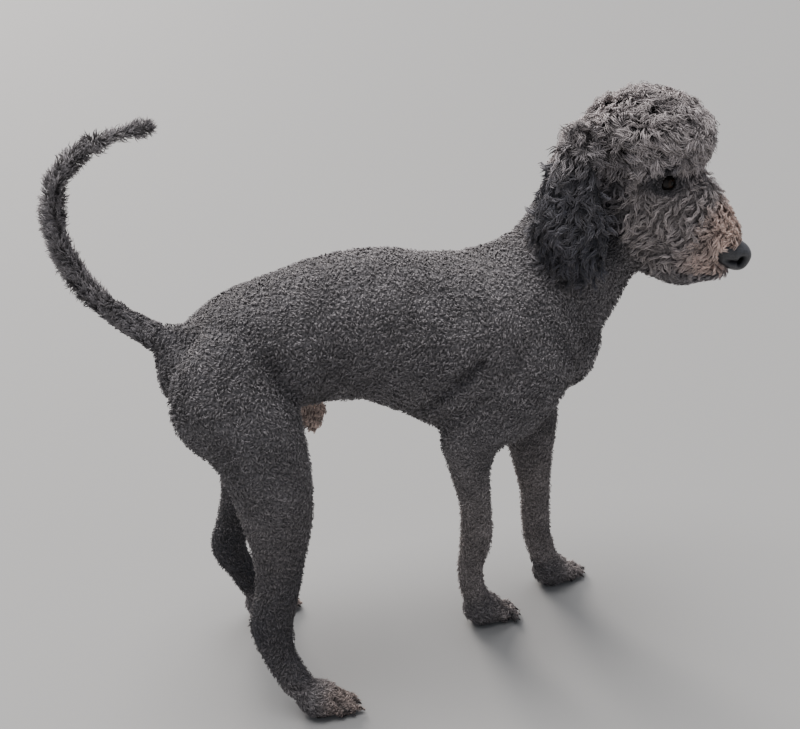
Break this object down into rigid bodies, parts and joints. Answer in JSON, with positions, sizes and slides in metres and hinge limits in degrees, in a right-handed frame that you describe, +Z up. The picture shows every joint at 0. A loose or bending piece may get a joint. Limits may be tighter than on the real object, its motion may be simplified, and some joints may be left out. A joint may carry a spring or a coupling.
{
  "type": "standing standard poodle",
  "caption": "Life-size still model of a curly-coated grey dog standing on four paws, its head turned a little to its right and its tail carried up in a curve.",
  "frame": {"origin": "on the floor, under the middle of the dog's outline seen from above", "axes": "+X towards the dog's nose, +Y towards its left side, +Z up"},
  "size_m": [0.9456, 0.3258, 0.8381],
  "materials": {
    "coat_grey": "clipped curly hair, charcoal grey",
    "coat_dark": "long curly hair, near black",
    "coat_tan": "wavy hair, brown-grey",
    "nose_leather": "bare black skin, slightly moist",
    "eye": "dark brown, wet"
  },
  "bodies": {
    "root": {"head": "coat_grey", "neck": "coat_grey", "chest": "coat_grey", "loin": "coat_grey", "rump": "coat_grey", "muzzle": "coat_tan", "lower_jaw": "coat_tan", "nose": "nose_leather", "eye_right": "eye", "eye_left": "eye", "ear_right": "coat_dark", "ear_left": "coat_dark", "tail_base": "coat_grey", "tail_middle": "coat_grey", "tail_tip": "coat_grey", "forearm_right": "coat_grey", "forearm_left": "coat_grey", "pastern_right": "coat_grey", "pastern_left": "coat_grey", "forepaw_right": "coat_tan", "forepaw_left": "coat_tan", "thigh_right": "coat_grey", "thigh_left": "coat_grey", "shank_right": "coat_grey", "shank_left": "coat_grey", "hock_right": "coat_grey", "hock_left": "coat_grey", "hindpaw_right": "coat_tan", "hindpaw_left": "coat_tan"}
  },
  "joints": []
}
